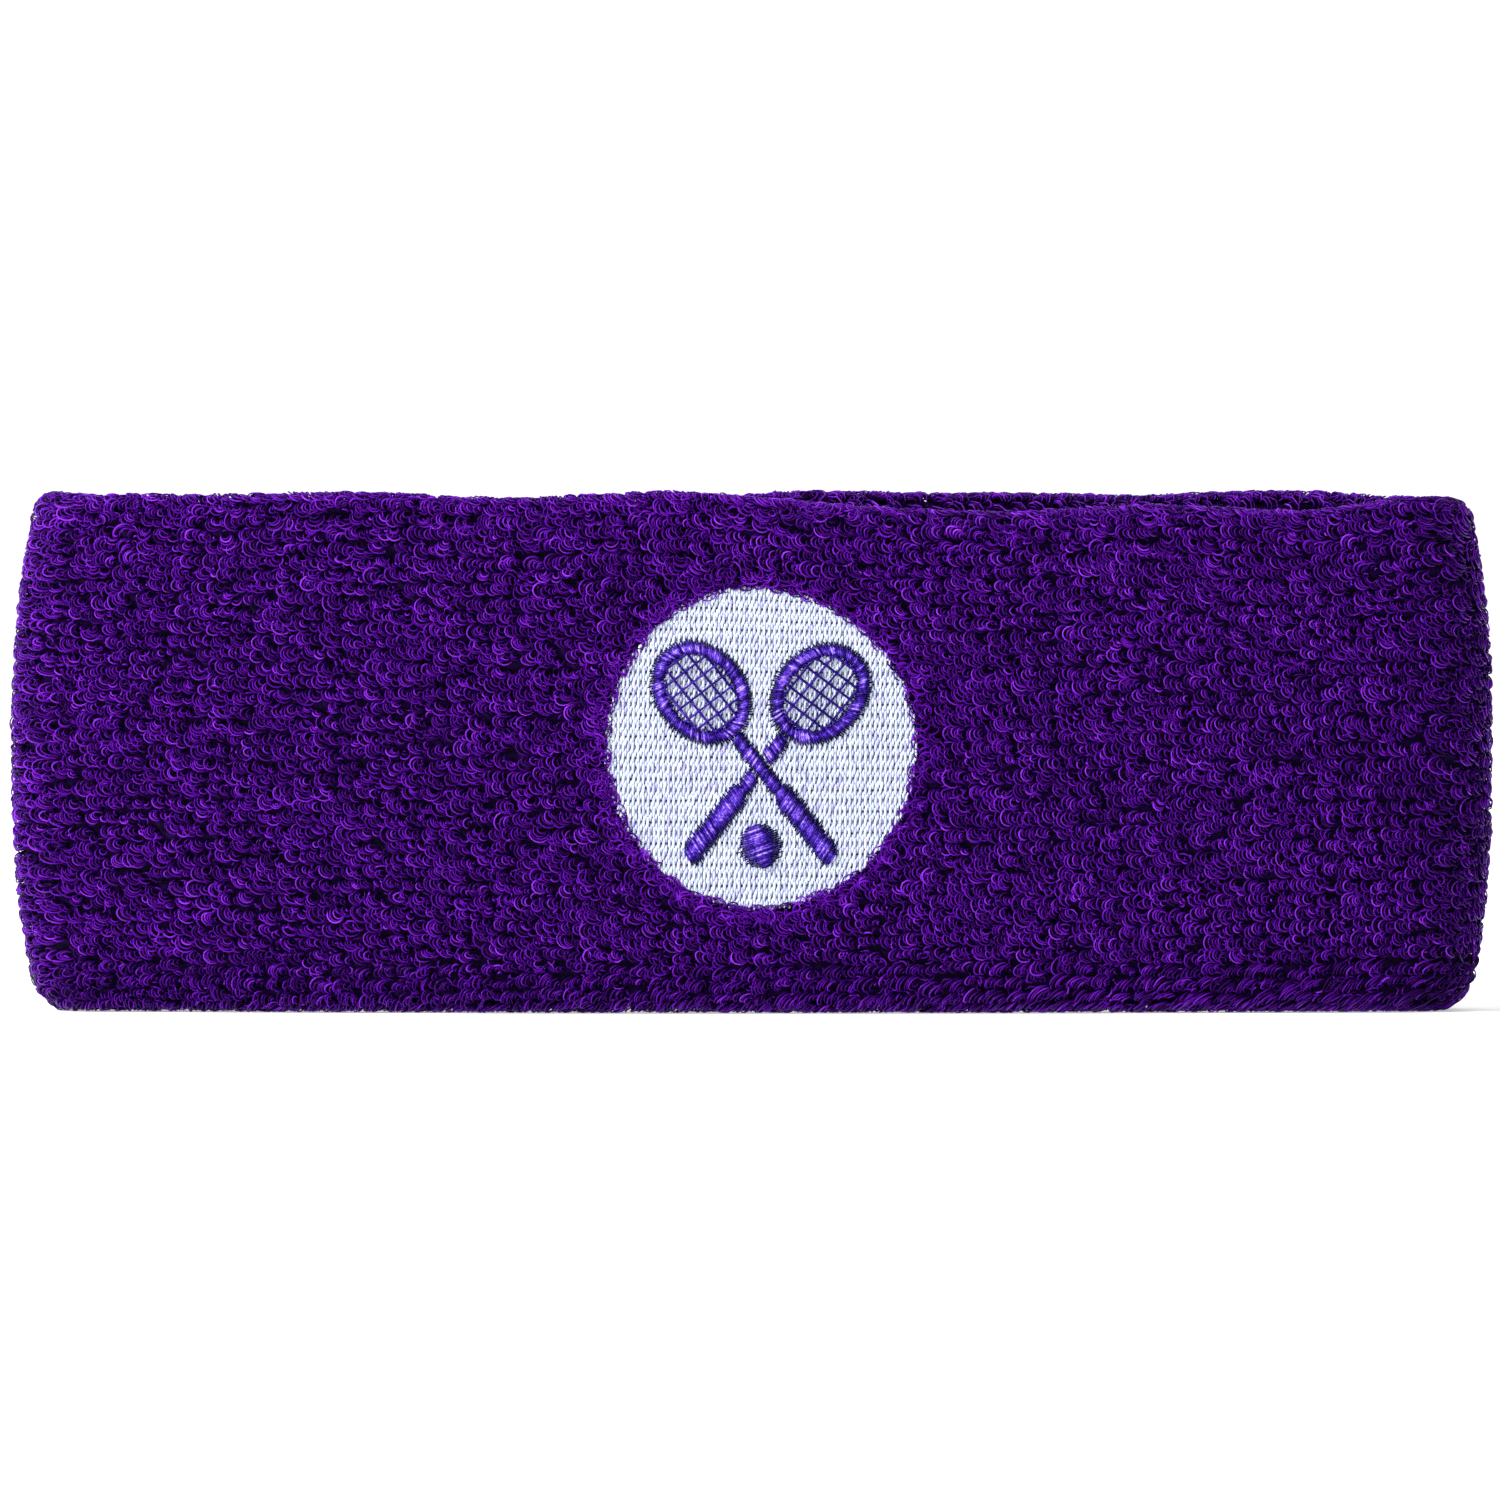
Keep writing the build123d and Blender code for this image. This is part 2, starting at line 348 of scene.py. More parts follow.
def thread_material(name, stops, roughness, mottle_size=3.0, mottle=0.25, **settings):
    """Thread or yarn: its colour follows the piece's tone, with soft patches and a fine fibre bump."""
    fibre_size = 0.12
    fibre_height = 0.05
    material, tree, shader = new_material(name, roughness, **settings)
    links = tree.links
    tone = add_node(tree, "ShaderNodeAttribute", attribute_name="tone")
    place_in_object = add_node(tree, "ShaderNodeTexCoord")
    patches = add_node(tree, "ShaderNodeTexNoise", Scale=1 / (mottle_size * METRE), Detail=2.0)
    links.new(place_in_object.outputs["Object"], patches.inputs["Vector"])
    centred = add_node(tree, "ShaderNodeMath", operation="SUBTRACT")
    links.new(patches.outputs["Fac"], centred.inputs[0])
    centred.inputs[1].default_value = 0.5
    shifted = add_node(tree, "ShaderNodeMath", operation="MULTIPLY_ADD")
    links.new(centred.outputs[0], shifted.inputs[0])
    shifted.inputs[1].default_value = mottle
    links.new(tone.outputs["Fac"], shifted.inputs[2])
    ramp = colour_ramp(tree, stops)
    links.new(shifted.outputs[0], ramp.inputs["Fac"])
    links.new(ramp.outputs["Color"], shader.inputs["Base Color"])
    fibres = add_node(tree, "ShaderNodeTexNoise", Scale=1 / (fibre_size * METRE), Detail=1.0)
    links.new(place_in_object.outputs["Object"], fibres.inputs["Vector"])
    relief = add_node(tree, "ShaderNodeBump", Strength=0.25, Distance=fibre_height * METRE)
    links.new(fibres.outputs["Fac"], relief.inputs["Height"])
    links.new(relief.outputs["Normal"], shader.inputs["Normal"])
    return material


def knit_material(name, dark, light):
    """The ground knit between the loops: rows of small stitches."""
    row_scale = 5.0
    stitch_height = 0.2
    material, tree, shader = new_material(name, 0.9, Specular_IOR_Level=0.1)
    links = tree.links
    place_in_object = add_node(tree, "ShaderNodeTexCoord")
    rows = add_node(tree, "ShaderNodeTexWave", bands_direction="Z", Distortion=2.0)
    rows.inputs["Scale"].default_value = 1 / (row_scale * METRE)
    links.new(place_in_object.outputs["Object"], rows.inputs["Vector"])
    ramp = colour_ramp(tree, [(0.2, dark), (0.9, light)])
    links.new(rows.outputs["Fac"], ramp.inputs["Fac"])
    links.new(ramp.outputs["Color"], shader.inputs["Base Color"])
    relief = add_node(tree, "ShaderNodeBump", Strength=0.6, Distance=stitch_height * METRE)
    links.new(rows.outputs["Fac"], relief.inputs["Height"])
    links.new(relief.outputs["Normal"], shader.inputs["Normal"])
    return material


# The yarn's colour follows its tone; the near-black low end of this ramp is painted shade at the roots and
# over the lower fold.
terry_yarn = thread_material(
    "terry_yarn",
    [
        (0.0, (0.002, 0.0001, 0.008)),
        (0.4, (0.022, 0.0002, 0.080)),
        (0.62, (0.100, 0.003, 0.320)),
        (0.9, (0.290, 0.030, 0.740)),
    ],
    0.33,
    mottle=0.06,
    Specular_IOR_Level=0.3,
    Specular_Tint=(0.42, 0.10, 0.95, 1.0),
    Sheen_Weight=0.02,
    Sheen_Roughness=0.35,
    Sheen_Tint=(0.6, 0.2, 1.0, 1.0),
)
# The dark violet low end of this ramp is painted shade in the needle holes and under the fill.
white_thread = thread_material(
    "white_thread",
    [
        (0.0, (0.03, 0.01, 0.17)),
        (0.2, (0.35, 0.30, 0.60)),
        (0.6, (0.56, 0.63, 0.76)),
        (1.0, (0.78, 0.82, 0.88)),
    ],
    0.42,
    mottle_size=0.5,
    mottle=0.5,
    Specular_IOR_Level=0.3,
)
# The lavender top of this ramp is painted highlight on the satin's crowns; the dark navy bottom is painted
# shade at its edges.
emblem_thread = thread_material(
    "emblem_thread",
    [
        (0.0, (0.0005, 0.0001, 0.03)),
        (0.35, (0.008, 0.001, 0.13)),
        (0.6, (0.050, 0.014, 0.32)),
        (0.85, (0.190, 0.085, 0.68)),
        (1.0, (0.46, 0.30, 1.0)),
    ],
    0.3,
    mottle_size=0.3,
    mottle=1.1,
    Specular_IOR_Level=0.18,
    Specular_Tint=(0.6, 0.4, 1.0, 1.0),
)
# The ground knit is near black rather than the yarn's purple: painted shade in the deep gaps between the
# loops.
ground_yarn = knit_material("ground_yarn", (0.003, 0.0001, 0.012), (0.010, 0.0005, 0.036))
elastic_yarn = thread_material(
    "elastic_yarn", [(0.0, (0.45, 0.42, 0.40)), (1.0, (0.72, 0.70, 0.68))], 0.6, Sheen_Weight=0.1
)
seam_thread = thread_material(
    "seam_thread", [(0.0, (0.030, 0.004, 0.120)), (1.0, (0.110, 0.020, 0.380))], 0.55, Sheen_Weight=0.2
)
backing_felt = thread_material(
    "backing_felt", [(0.0, (0.62, 0.62, 0.60)), (1.0, (0.86, 0.86, 0.84))], 0.9, Sheen_Weight=0.3
)
bobbin_yarn = thread_material(
    "bobbin_yarn", [(0.0, (0.60, 0.62, 0.66)), (1.0, (0.88, 0.89, 0.92))], 0.5, Sheen_Weight=0.2
)


# ---------------------------------------------------------------- the knitted tube


def grid_faces(rows, columns, wrap_rows=False, wrap_columns=False):
    """Quads of a grid of points, optionally closed on itself."""
    index = np.arange(rows * columns).reshape(rows, columns)
    row_ends = rows if wrap_rows else rows - 1
    column_ends = columns if wrap_columns else columns - 1
    next_row = np.roll(index, -1, 0)
    next_column = np.roll(index, -1, 1)
    both = np.roll(next_row, -1, 1)
    quads = np.stack([index, next_column, both, next_row], axis=-1)
    return quads[:row_ends, :column_ends].reshape(-1, 4)


seam_height = 8.2
seam_around = section_length - (outer_face_start + seam_height - (pile + ground_fold))
seam_gap = 0.12
seam_stitch = 1.1
seam_half_width = 0.9
seam_radius = 0.13
elastic_courses = 28
elastic_radius = 0.16
knit_columns = 360
knit_rows = 110


def make_ground_knit():
    """The knitted tube that the loops stand on: one sheet, whose two edges meet at the seam."""
    along = np.linspace(0, loop_length, knit_columns, endpoint=False)
    around = np.linspace(seam_around + seam_gap, seam_around + section_length - seam_gap, knit_rows)
    along, around = np.meshgrid(along, around, indexing="ij")
    outer = place(along, around, 0.0).reshape(-1, 3)
    inner = place(along, around, -ground).reshape(-1, 3)
    skin = grid_faces(knit_columns, knit_rows, wrap_rows=True)
    total = knit_columns * knit_rows
    index = np.arange(total).reshape(knit_columns, knit_rows)
    edges = []
    for row, flip in ((0, 1), (knit_rows - 1, -1)):
        near = index[:, row]
        ahead = np.roll(near, -1)
        edges.append(np.stack([near, ahead, ahead + total, near + total], axis=-1)[:, ::flip])
    faces = [np.concatenate([skin, skin[:, ::-1] + total, *edges])]
    piece = make_piece("ground_knit", np.concatenate([outer, inner]), faces, ground_yarn)
    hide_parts("outer_ground_knit", "inner_ground_knit")
    return piece


def make_elastic():
    """The elastic yarn, one ring for each course of each ply, inside the ground knit."""
    low, high = (corner[2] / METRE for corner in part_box("outer_elastic_yarns"))
    margin = 0.35
    courses = np.linspace(low + margin, high - margin, elastic_courses)
    ring = np.linspace(0, loop_length, 181)
    for ply in ("outer", "inner"):
        around = around_outer(courses)
        if ply == "inner":
            around = section_length - around
        paths = place(ring[None, :], around[:, None], -elastic_depth)
        tone = rng.uniform(0.3, 0.8, (elastic_courses, 1))
        piece = tube_piece(f"{ply}_elastic", paths, elastic_radius, elastic_yarn, tone=tone)
        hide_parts(f"{ply}_elastic_yarns")


def make_seam():
    """The linking stitches that close the tube: a zigzag of thread over the two edges, inside the wall."""
    steps_per_stitch = 4
    count = int(loop_length / seam_stitch) * steps_per_stitch
    steps = np.arange(count + 1)
    along = steps * loop_length / count
    side = np.where(steps % 2 == 0, 0.0, np.where(steps % steps_per_stitch == 1, 1.0, -1.0))
    depth = -ground - 0.62 - 0.12 * np.abs(side)
    path = place(along, seam_around + side * seam_half_width, depth)[None]
    piece = tube_piece("closing_stitches", path, seam_radius, seam_thread, tone=0.5)
    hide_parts("closing_seam")


# ---------------------------------------------------------------- the terry loops

row_pitch = 1.66
column_pitch = 2.6
yarn_radius = 0.104
root_depth = -0.15
loop_steps = 11
short_loop_steps = 6
inner_loop_steps = 6
cluster_jitter = 0.2
fewest_strands = 4
most_strands = 5
ring_chance = 0.02
ring_span = 345
loop_span = 240
rim_spacing = 0.15
press_margin = 0.45
end_zone = 6.0
upper_zone = 4.0
triangles_per_piece = 190000

# Where the settings of the outer clusters change: from left to right along X, and by height at the folds
rightward_span = (-65.0, 25.0)
lower_fold_span = (3.5, 9.0)
upper_fold_span = (50.0, 60.0)
# Where the painted shade of the right end comes in, along X
shaded_end_span = (70.0, 84.0)

# The settings, each for the left end, the right half and the lower fold: the lean and the direction of the
# belly in degrees, the reach in millimetres, the squat, the step from strand to strand in millimetres, and
# how much smaller each strand is than the last
cluster_tilt = (-18, -22, 42)
cluster_belly = (218, 200, 165)
cluster_reach = (1.04, 1.02, 1.0)
cluster_squat = (0.88, 0.9, 0.52)
cluster_step = (0.24, 0.34, 0.34)
cluster_shrink = (0.17, 0.12, 0.06)


def on_badge(x, z, margin):
    """Whether places on the front wall are inside the badge's outline, grown by a margin."""
    across = (x - badge_x) / (badge_half_width + margin)
    upward = (z - badge_z) / (badge_half_height + margin)
    return across**2 + upward**2 < 1


def loop_clusters(rows, around_start):
    """Where the clusters of loops are rooted, along and around: in rows that wander a little."""
    columns = round(loop_length / column_pitch)
    row, column = np.meshgrid(np.arange(rows), np.arange(columns), indexing="ij")
    along = (column + 0.5 + 0.22 * np.sin(row * 1.7)) * loop_length / columns
    along = along + rng.normal(0, cluster_jitter, along.shape)
    around = around_start + (row + 0.5) * row_pitch
    around = around + 0.3 * np.sin(along / 9.0 + row * 0.4) + rng.normal(0, cluster_jitter, along.shape)
    return along.ravel(), around.ravel()


def loop_paths(along, around, tilt, belly, span, reach, squat, height, steps=loop_steps):
    """Strands of yarn that rise from the ground knit, bow out sideways and return to it.

    Seen from outside each is part of an ellipse round its place. The tilt is the lean of the ellipse's long
    axis, the belly the direction of the strand's middle, the span how much of a ring it is, the reach half
    the long axis and the squat the ratio of the short axis to the long one.
    """
    turn = np.linspace(-0.5, 0.5, steps)
    angle = (belly - tilt)[:, None] + span[:, None] * turn
    on_long = reach[:, None] * np.cos(angle)
    on_short = (reach * squat)[:, None] * np.sin(angle)
    strand_along = along[:, None] + on_long * np.cos(tilt)[:, None] - on_short * np.sin(tilt)[:, None]
    strand_around = around[:, None] + on_long * np.sin(tilt)[:, None] + on_short * np.cos(tilt)[:, None]
    rise = np.cos(math.pi * turn) ** 0.5 * np.ones_like(angle)
    heights = root_depth + (height - root_depth)[:, None] * rise
    return place(strand_along, strand_around, heights), rise


def nested_strands(along, around, settings):
    """The strands of each cluster, nested one inside the next: their paths and tones.

    Every strand starts from its cluster's settings and varies a little about them. The strands are lighter
    and darker by turns, and each is lightest at its crown and darkest at its roots, which is painted shade
    low in the pile.
    """
    paths, tones = [], []
    shade = rng.normal(0, 0.025, len(along))
    for strand in range(most_strands):
        chosen = settings["strands"] > strand
        own = {name: values[chosen] for name, values in settings.items()}
        amount = chosen.sum()
        shift = own["step"] * strand
        away = own["belly"] + math.pi
        ring = rng.random(amount) < ring_chance
        path, rise = loop_paths(
            along[chosen] + shift * np.cos(away) + rng.normal(0, 0.07, amount),
            around[chosen] + shift * np.sin(away) * 0.7 + rng.normal(0, 0.11, amount),
            own["tilt"] + rng.normal(0, 0.12, amount),
            own["belly"] + rng.normal(0, 0.16, amount),
            np.radians(np.where(ring, ring_span, rng.normal(loop_span, 26, amount))),
            own["reach"] * (1 - own["shrink"] * strand) * rng.normal(1, 0.06, amount),
            own["squat"] * rng.normal(1, 0.07, amount),
            own["height"] + rng.normal(0, 0.05, amount),
        )
        paths.append(path)
        own_tone = own["painted_shade"] + shade[chosen] + rng.normal(0, 0.11, amount)
        by_turns = 0.06 if strand % 2 == 0 else -0.06
        # Tone rises from root to crown: painted shade low in the pile. The cluster's own setting adds
        # painted shade over the lower fold and the right end.
        tones.append(0.66 * rise - 0.08 + by_turns + own_tone[:, None])
    return paths, tones


def short_strands(along, around, copies, low, high):
    """Single short strands that fill in between the clusters and point anyhow: their paths and tones."""
    paths, tones = [], []
    count = len(along)
    for _ in range(copies):
        path, rise = loop_paths(
            along + rng.uniform(-0.5, 0.5, count) * column_pitch,
            around + rng.uniform(-0.5, 0.5, count) * row_pitch,
            rng.uniform(-1.2, 0.6, count),
            rng.uniform(0, 2 * math.pi, count),
            rng.uniform(1.8, 4.2, count),
            rng.uniform(0.45, 1.15, count),
            rng.uniform(0.5, 0.9, count),
            rng.uniform(low, high, count),
            short_loop_steps,
        )
        paths.append(path)
        # Tone rises from root to crown: painted shade low in the pile.
        tones.append(0.58 * rise - 0.04 + rng.normal(0, 0.1, count)[:, None])
    return paths, tones


def fold_strands(middle, spacing, tilt, belly, spread, height):
    """Loops that thicken the pile along the middle of a fold: their paths and tones."""
    count = round(loop_length / spacing)
    path, rise = loop_paths(
        np.arange(count) * spacing + rng.normal(0, 0.2, count),
        middle + rng.uniform(-2.6, 2.6, count),
        np.radians(tilt + rng.normal(0, 15, count)),
        np.radians(belly + rng.normal(0, 1, count) * spread),
        rng.uniform(3.0, 4.8, count),
        rng.uniform(0.75, 1.2, count),
        rng.uniform(0.45, 0.75, count),
        rng.normal(height, 0.09, count),
    )
    # Tone rises from root to crown: painted shade low in the pile.
    return path, 0.58 * rise - 0.08 + rng.normal(0, 0.1, count)[:, None]


def badge_rim_strands():
    """Loops that crowd round the badge and lean over its edge."""
    count = round(2 * math.pi * badge_half_height / rim_spacing)
    turn = np.linspace(0, 2 * math.pi, count, endpoint=False) + rng.normal(0, 0.01, count)
    margin = rng.uniform(0.1, 1.9, count)
    x = badge_x + (badge_half_width + margin) * np.cos(turn)
    z = badge_z + (badge_half_height + margin) * np.sin(turn)
    path, rise = loop_paths(
        along_front(x),
        around_outer(z),
        rng.uniform(-1.0, 0.5, count),
        turn + math.pi + rng.normal(0, 0.9, count),
        rng.uniform(3.2, 5.0, count),
        rng.uniform(0.6, 1.15, count),
        rng.uniform(0.6, 0.9, count),
        rng.normal(1.1, 0.1, count),
    )
    # Tone rises from root to crown: painted shade low in the pile.
    return path, 0.6 * rise - 0.04 + rng.normal(0, 0.1, count)[:, None]


def outer_settings(x, z):
    """The settings of the outer clusters at these places, with a little chance in each cluster."""
    count = len(x)
    rightward = smooth(x, *rightward_span)
    low = 1 - smooth(z, *lower_fold_span)
    high = smooth(z, *upper_fold_span)

    def blend(setting):
        left, right, bottom = setting
        return (left + (right - left) * rightward) * (1 - low) + bottom * low

    return {
        "tilt": np.radians(blend(cluster_tilt) + rng.normal(0, 12, count)),
        "belly": np.radians(blend(cluster_belly) + rng.normal(0, 1, count) * (16 + 30 * high)),
        "reach": (blend(cluster_reach) + 0.08 * high) * rng.normal(1, 0.12, count),
        "squat": blend(cluster_squat) * rng.normal(1, 0.08, count),
        "step": blend(cluster_step),
        "shrink": blend(cluster_shrink),
        "strands": fewest_strands + (rng.random(count) < 0.5 * np.maximum(rightward, low)),
        "height": rng.normal(1.15, 0.05, count),
        # Painted shade: strands over the lower fold and towards the right end are darker, standing in for
        # less light falling there.
        "painted_shade": -0.09 * low - 0.08 * smooth(x, *shaded_end_span),
    }


def companion_strands(along, around, settings):
    """A smaller cluster beside each big one: their paths and tones."""
    count = len(along)
    along = along + rng.normal(1.3, 0.15, count)
    around = around + rng.normal(-0.15, 0.2, count)
    smaller = dict(settings)
    smaller["belly"] = settings["belly"] + rng.normal(0, 0.3, count)
    smaller["reach"] = settings["reach"] * rng.normal(0.66, 0.1, count)
    smaller["shrink"] = np.full(count, 0.38)
    smaller["strands"] = rng.choice([2, 2, 2, 3], count)
    smaller["height"] = settings["height"] - 0.08
    return nested_strands(along, around, smaller)


def make_outer_loops():
    """The pile on the outside of the band, in upright sectors."""
    rows = round((section_length / 2) / row_pitch) + 1
    along, around = loop_clusters(rows, -0.5 * row_pitch)
    root = place(along, around, 0.0)
    under_badge = (root[:, 1] < 0) & on_badge(root[:, 0], root[:, 2], press_margin)
    pressed_paths, pressed_tones = short_strands(
        along[under_badge], around[under_badge], copies=2, low=0.2, high=0.36
    )
    free = ~under_badge
    along, around = along[free], around[free]
    x, z = root[free, 0], root[free, 2]
    settings = outer_settings(x, z)
    big_paths, big_tones = nested_strands(along, around, settings)
    small_paths, small_tones = companion_strands(along, around, settings)
    rim_path, rim_tone = badge_rim_strands()
    lower_path, lower_tone = fold_strands(0.0, spacing=0.24, tilt=42, belly=165, spread=15, height=1.2)
    upper_path, upper_tone = fold_strands(
        section_length / 2, spacing=0.36, tilt=-10, belly=210, spread=60, height=0.97
    )
    long_paths = big_paths + small_paths + [rim_path, lower_path, upper_path]
    long_tones = big_tones + small_tones + [rim_tone, lower_tone, upper_tone]
    short_paths, short_tones = short_strands(along, around, copies=4, low=0.65, high=1.08)
    at_edge = (np.abs(x) > half_length - end_zone) | (z > band_height - upper_zone)
    edge_paths, edge_tones = short_strands(along[at_edge], around[at_edge], copies=4, low=0.6, high=0.98)
    short_paths = short_paths + pressed_paths + edge_paths
    short_tones = short_tones + pressed_tones + edge_tones
    pieces = pile_pieces("outer_loops", long_paths, long_tones)
    pieces += pile_pieces("outer_short_loops", short_paths, short_tones)
    for piece in pieces:
        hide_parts("outer_pile")
    return pieces


def pile_pieces(name, paths, tones):
    """Pieces of pile made of strands, cut into upright sectors that follow each other round the band."""
    sides = 3
    paths = np.concatenate(paths)
    tones = np.concatenate(tones)
    count, steps, _ = paths.shape
    middle = paths[:, steps // 2]
    order = np.argsort(np.arctan2(middle[:, 1] * half_length / half_depth, middle[:, 0]))
    triangles = count * (2 * sides * (steps - 1) + 2 * (sides - 2))
    pieces = []
    for number, group in enumerate(np.array_split(order, math.ceil(triangles / triangles_per_piece))):
        label = f"{name}_{number + 1:02d}"
        piece = tube_piece(label, paths[group], yarn_radius, terry_yarn, sides, tones[group])
        pieces.append(piece)
    return pieces


def make_inner_loops():
    """The pile on the inside of the band: longer loops of fewer strands, with fewer points on each."""
    rows = round((section_length / 2) / row_pitch) - 1
    along, around = loop_clusters(rows, section_length / 2 + 0.5 * row_pitch)
    count = len(along)
    settings = {
        "tilt": np.radians(rng.normal(-25, 12, count)),
        "belly": np.radians(rng.normal(215, 18, count)),
        "reach": rng.normal(1.35, 0.12, count),
        "squat": rng.normal(0.72, 0.06, count),
        "step": np.full(count, 0.2),
        "shrink": np.full(count, 0.27),
        "strands": np.full(count, 3),
        "height": rng.normal(1.12, 0.09, count),
        # The inner pile gets no painted shade
        "painted_shade": np.zeros(count),
    }
    paths, tones = nested_strands(along, around, settings)
    short_paths, short_tones = short_strands(along, around, copies=1, low=0.6, high=1.0)
    coarse = np.linspace(0, loop_steps - 1, inner_loop_steps).round().astype(int)
    coarse_paths = [path[:, coarse] for path in paths]
    coarse_tones = [tone[:, coarse] for tone in tones]
    pieces = pile_pieces("inner_loops", coarse_paths, coarse_tones)
    pieces += pile_pieces("inner_short_loops", short_paths, short_tones)
    for piece in pieces:
        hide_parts("inner_pile")
    return pieces


# ---------------------------------------------------------------- the badge

fill_height = 0.95
underlay_height = 0.5
emblem_height = 1.35
fill_pitch = 0.3
fill_stitch = 1.3
fill_radius = 0.185
satin_pitch = 0.27
satin_radius = 0.142
underlay_pitch = 0.52
underlay_radius = 0.2
felt_margin = 2.5
felt_front = -0.85
felt_back = -1.1
bobbin_pitch = 0.9
bobbin_stitch = 1.3
bobbin_radius = 0.075


def on_front_wall(x, z, height):
    """Points on the front wall, from where they are in front view before the band softens."""
    return place(along_front(x), around_outer(z), height)


def badge_chord(offset, half_across, half_along):
    """Half the length of the badge's chord at this offset from its middle."""
    return half_along * np.sqrt(np.clip(1 - (offset / half_across) ** 2, 0, None))


def make_backing():
    """The felt that stiffens the embroidery, between the plies, cut a little larger than the badge."""
    rings = 10
    spokes = 90
    total = rings * spokes
    cut_margin = felt_margin - 0.1
    share = np.linspace(0.02, 1, rings)[:, None]
    turn = np.linspace(0, 2 * math.pi, spokes, endpoint=False)[None, :]
    scissor_waves = 1 + 0.006 * np.sin(5 * turn) + 0.004 * np.sin(11 * turn + 1.0)
    x = badge_x + (badge_half_width + cut_margin) * share * scissor_waves * np.cos(turn)
    z = badge_z + (badge_half_height + cut_margin) * share * scissor_waves * np.sin(turn)
    face = on_front_wall(x, z, felt_front).reshape(-1, 3)
    back = on_front_wall(x, z, felt_back).reshape(-1, 3)
    skin = grid_faces(rings, spokes, wrap_columns=True)
    index = np.arange(total).reshape(rings, spokes)
    near = index[-1]
    ahead = np.roll(near, -1)
    rim = np.stack([near, ahead, ahead + total, near + total], axis=-1)
    middles = np.stack([index[0][::-1], index[0] + total])
    faces = [np.concatenate([skin[:, ::-1], skin + total, rim[:, ::-1]]), middles]
    piece = make_piece("embroidery_felt", np.concatenate([face, back]), faces, backing_felt)
    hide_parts("embroidery_backing")
    return piece


def make_bobbin():
    """The bobbin thread: short stitches on the back of the felt."""
    half_stitch = 0.4 * bobbin_stitch
    columns = np.arange(-badge_half_width + 0.6, badge_half_width - 0.5, bobbin_pitch)
    x, z = [], []
    for number, column in enumerate(columns):
        chord = badge_chord(column, badge_half_width, badge_half_height)
        offset = (number % 2) * bobbin_stitch / 2
        middles = np.arange(-chord + 0.9 + offset, chord - 0.8, bobbin_stitch)
        x.append(np.full(len(middles), column))
        z.append(middles)
    x = badge_x + np.concatenate(x)[:, None]
    z = badge_z + np.concatenate(z)[:, None]
    count = len(x)
    share = np.linspace(-1, 1, 5)[None, :]
    lean = rng.normal(0.1, 0.05, (count, 1))
    depth = felt_back - 0.07 * (1 - share**2)
    paths = on_front_wall(x + lean * share, z + half_stitch * share, depth)
    tone = rng.uniform(0.3, 0.9, (count, 1))
    piece = tube_piece("bobbin_stitches", paths, bobbin_radius, bobbin_yarn, tone=tone)
    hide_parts("bobbin_thread")


def make_underlay():
    """The stitches that hold the pile down: level runs across the badge, under the fill."""
    offsets = np.arange(-badge_half_height + 0.6, badge_half_height - 0.5, underlay_pitch)[:, None]
    chords = badge_chord(offsets, badge_half_height, badge_half_width) - 0.35
    share = np.linspace(-1, 1, 61)[None, :]
    height = underlay_height - 0.08 * np.abs(np.sin(share * 24))
    paths = on_front_wall(badge_x + chords * share, badge_z + offsets + 0.15 * share, height)
    # Tone 0.2 gives the white underlay a shaded lavender grey: painted shade under the fill.
    piece = tube_piece("underlay_stitches", paths, underlay_radius, white_thread, tone=0.2)
    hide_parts("badge_underlay")


def make_fill():
    """The white ground of the badge: columns of upright stitches. The needle holes of every other column are
    half a stitch higher and fainter than the rest.
    """
    ragged = 0.13
    least_stitch = 0.35
    columns = np.arange(-badge_half_width + 0.1, badge_half_width, fill_pitch)
    low, high, middle_x, strong = [], [], [], []
    for number, column in enumerate(columns):
        chord = badge_chord(column, badge_half_width, badge_half_height)
        top = chord + rng.normal(0, ragged)
        bottom = -chord + rng.normal(0, ragged)
        first = math.floor(bottom / fill_stitch) * fill_stitch + (number % 2) * fill_stitch / 2
        holes = np.arange(first, top, fill_stitch)
        holes = holes + rng.normal(0, 0.05, len(holes))
        holes = holes[(holes > bottom + least_stitch) & (holes < top - least_stitch)]
        ends = np.concatenate([[bottom], holes, [top]])
        low.append(ends[:-1])
        high.append(ends[1:])
        middle_x.append(np.full(len(ends) - 1, column))
        strong.append(np.full(len(ends) - 1, 1.0 if number % 2 == 0 else 0.3))
    middle_x = np.concatenate(middle_x)[:, None]
    strong = np.concatenate(strong)[:, None]
    hole = 0.075 * strong
    low = np.concatenate(low)[:, None] + hole
    high = np.concatenate(high)[:, None] - hole
    count = len(low)
    share = np.array([0, 0.07, 0.2, 0.5, 0.8, 0.93, 1.0])[None, :]
    slant = rng.normal(0.1, 0.06, (count, 1))
    x = badge_x + middle_x + rng.normal(0, 0.035, (count, 1)) + slant * (share - 0.5)
    z = badge_z + low + (high - low) * share
    bow = np.sin(math.pi * share) ** 0.6
    dip = (1 - bow) * strong
    height = fill_height - fill_radius - 0.5 * dip + rng.normal(0, 0.03, (count, 1))
    # Painted shade: each stitch darkens to violet at its needle holes, more in the columns with strong
    # holes.
    tone = 0.68 - 0.62 * dip + rng.normal(0, 0.12, (count, 1))
    radii = fill_radius * (1 - 0.42 * dip)
    piece = tube_piece("badge_fill_stitches", on_front_wall(x, z, height), radii, white_thread, 5, tone)
    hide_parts("badge_fill")


# ---------------------------------------------------------------- the emblem

